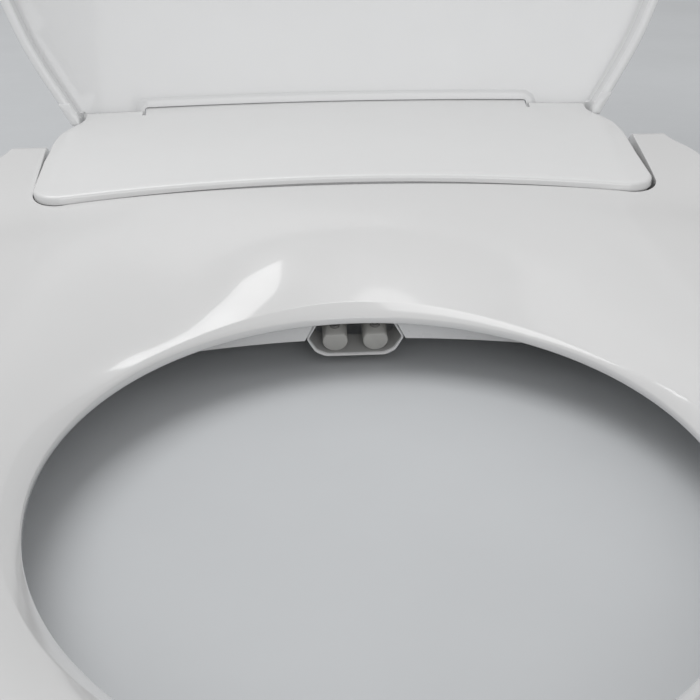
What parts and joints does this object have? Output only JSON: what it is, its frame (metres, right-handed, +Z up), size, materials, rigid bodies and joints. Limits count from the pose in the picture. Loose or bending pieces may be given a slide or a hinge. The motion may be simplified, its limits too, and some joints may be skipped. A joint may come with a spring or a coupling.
{
  "type": "electric bidet seat",
  "caption": "Electric bidet toilet seat with heated ring, rear wash unit housing, two retractable spray nozzles and hinged soft-close lid standing open",
  "frame": {"origin": "midway between the two mounting bolt holes, on the china plane under the mounting bracket", "axes": "+X to the user's left-to-right as seen from the front, +Y to the rear, +Z up"},
  "size_m": [0.381, 0.6643, 0.5469],
  "materials": {
    "seat_white": "smooth high-gloss moulded",
    "panel_white": "gloss moulded",
    "lid_white": "gloss moulded",
    "base_white": "satin moulded",
    "nozzle_grey": "matte moulded",
    "inner_black": "matte moulded",
    "motor_steel": "brushed",
    "brass": "machined",
    "rubber_grey": "matte",
    "board_green": "laminate",
    "component_mix": "moulded",
    "foil": "foil",
    "button_grey": "satin moulded"
  },
  "bodies": {
    "base": {"base_tray": "base_white", "rear_housing": "base_white", "top_panel": "panel_white", "nozzle_mouth": "base_white", "nozzle_guide": "inner_black", "rear_wash_drive_motor": "motor_steel", "front_wash_drive_motor": "motor_steel", "water_heater": "inner_black", "thermal_fuse": "inner_black", "inlet_fitting": "brass", "inlet_filter": "motor_steel", "inlet_gasket": "rubber_grey", "inlet_valve": "inner_black", "valve_solenoid": "motor_steel", "flow_control_valve": "inner_black", "flow_valve_motor": "motor_steel", "drain_plug": "inner_black", "control_board": "board_green", "board_components": "component_mix", "board_standoffs": "inner_black", "cord_gland": "inner_black", "button_dome_pad": "rubber_grey", "button_board": "board_green", "remote_receiver_window": "inner_black", "mounting_bracket": "base_white", "release_spring": "motor_steel", "base_feet": "rubber_grey", "case_screws": "motor_steel", "seat_hinge_pins": "motor_steel", "seat_dampers": "motor_steel", "lid_hinge_pins": "motor_steel", "lid_dampers": "motor_steel"},
    "seat": {"seat_upper_shell": "seat_white", "seat_lower_shell": "base_white", "seat_hinge_knuckles": "base_white", "seat_heater_foil": "foil", "seat_hinge_bushings": "inner_black", "seat_bumpers": "rubber_grey", "occupancy_sensor": "foil"},
    "lid": {"lid_shell": "lid_white", "lid_hinge_arms": "lid_white", "lid_bumpers": "rubber_grey"},
    "rear_nozzle": {"rear_wash_nozzle": "nozzle_grey", "rear_wash_nozzle_tip": "nozzle_grey", "rear_wash_nozzle_rack": "inner_black"},
    "front_nozzle": {"front_wash_nozzle": "nozzle_grey", "front_wash_nozzle_tip": "nozzle_grey", "front_wash_nozzle_rack": "inner_black"},
    "rear_pinion": {"rear_wash_drive_pinion": "inner_black"},
    "front_pinion": {"front_wash_drive_pinion": "inner_black"},
    "power_button": {"power_button": "button_grey"},
    "wash_button": {"wash_button": "button_grey"},
    "stop_button": {"stop_button": "button_grey"},
    "release_button": {"release_button": "button_grey"}
  },
  "joints": [
    {"name": "seat_hinge", "type": "hinge", "parent": "base", "child": "seat", "pos_m": [0, 0.005, 0.045], "axis": [-1, 0, 0], "range_deg": [0, 95]},
    {"name": "lid_hinge", "type": "hinge", "parent": "base", "child": "lid", "pos_m": [0, 0.036, 0.062], "axis": [-1, 0, 0], "range_deg": [-109, 0]},
    {"name": "rear_nozzle_slide", "type": "slide", "parent": "base", "child": "rear_nozzle", "axis": [0, -0.9455, -0.3256], "range_m": [0, 0.07]},
    {"name": "rear_pinion_spin", "type": "hinge", "parent": "base", "child": "rear_pinion", "pos_m": [-0.00875, -0.05182, 0.02218], "axis": [1, 0, 0], "range_deg": [0, 803]},
    {"name": "front_nozzle_slide", "type": "slide", "parent": "base", "child": "front_nozzle", "axis": [0, -0.9455, -0.3256], "range_m": [0, 0.07]},
    {"name": "front_pinion_spin", "type": "hinge", "parent": "base", "child": "front_pinion", "pos_m": [0.00875, -0.05182, 0.02218], "axis": [1, 0, 0], "range_deg": [0, 803]},
    {"name": "power_button_press", "type": "slide", "parent": "base", "child": "power_button", "axis": [0, 0, -1], "range_m": [0, 0.0012], "stiffness_N_per_m": 500},
    {"name": "wash_button_press", "type": "slide", "parent": "base", "child": "wash_button", "axis": [0, 0, -1], "range_m": [0, 0.0012], "stiffness_N_per_m": 500},
    {"name": "stop_button_press", "type": "slide", "parent": "base", "child": "stop_button", "axis": [0, 0, -1], "range_m": [0, 0.0012], "stiffness_N_per_m": 500},
    {"name": "release_button_press", "type": "slide", "parent": "base", "child": "release_button", "axis": [-1, 0, 0], "range_m": [0, 0.004], "stiffness_N_per_m": 400, "deforming": ["release_spring"]}
  ],
  "couplings": [
    {"joint": "rear_pinion_spin", "follows": "rear_nozzle_slide", "rad_per_m": 200},
    {"joint": "front_pinion_spin", "follows": "front_nozzle_slide", "rad_per_m": 200}
  ]
}
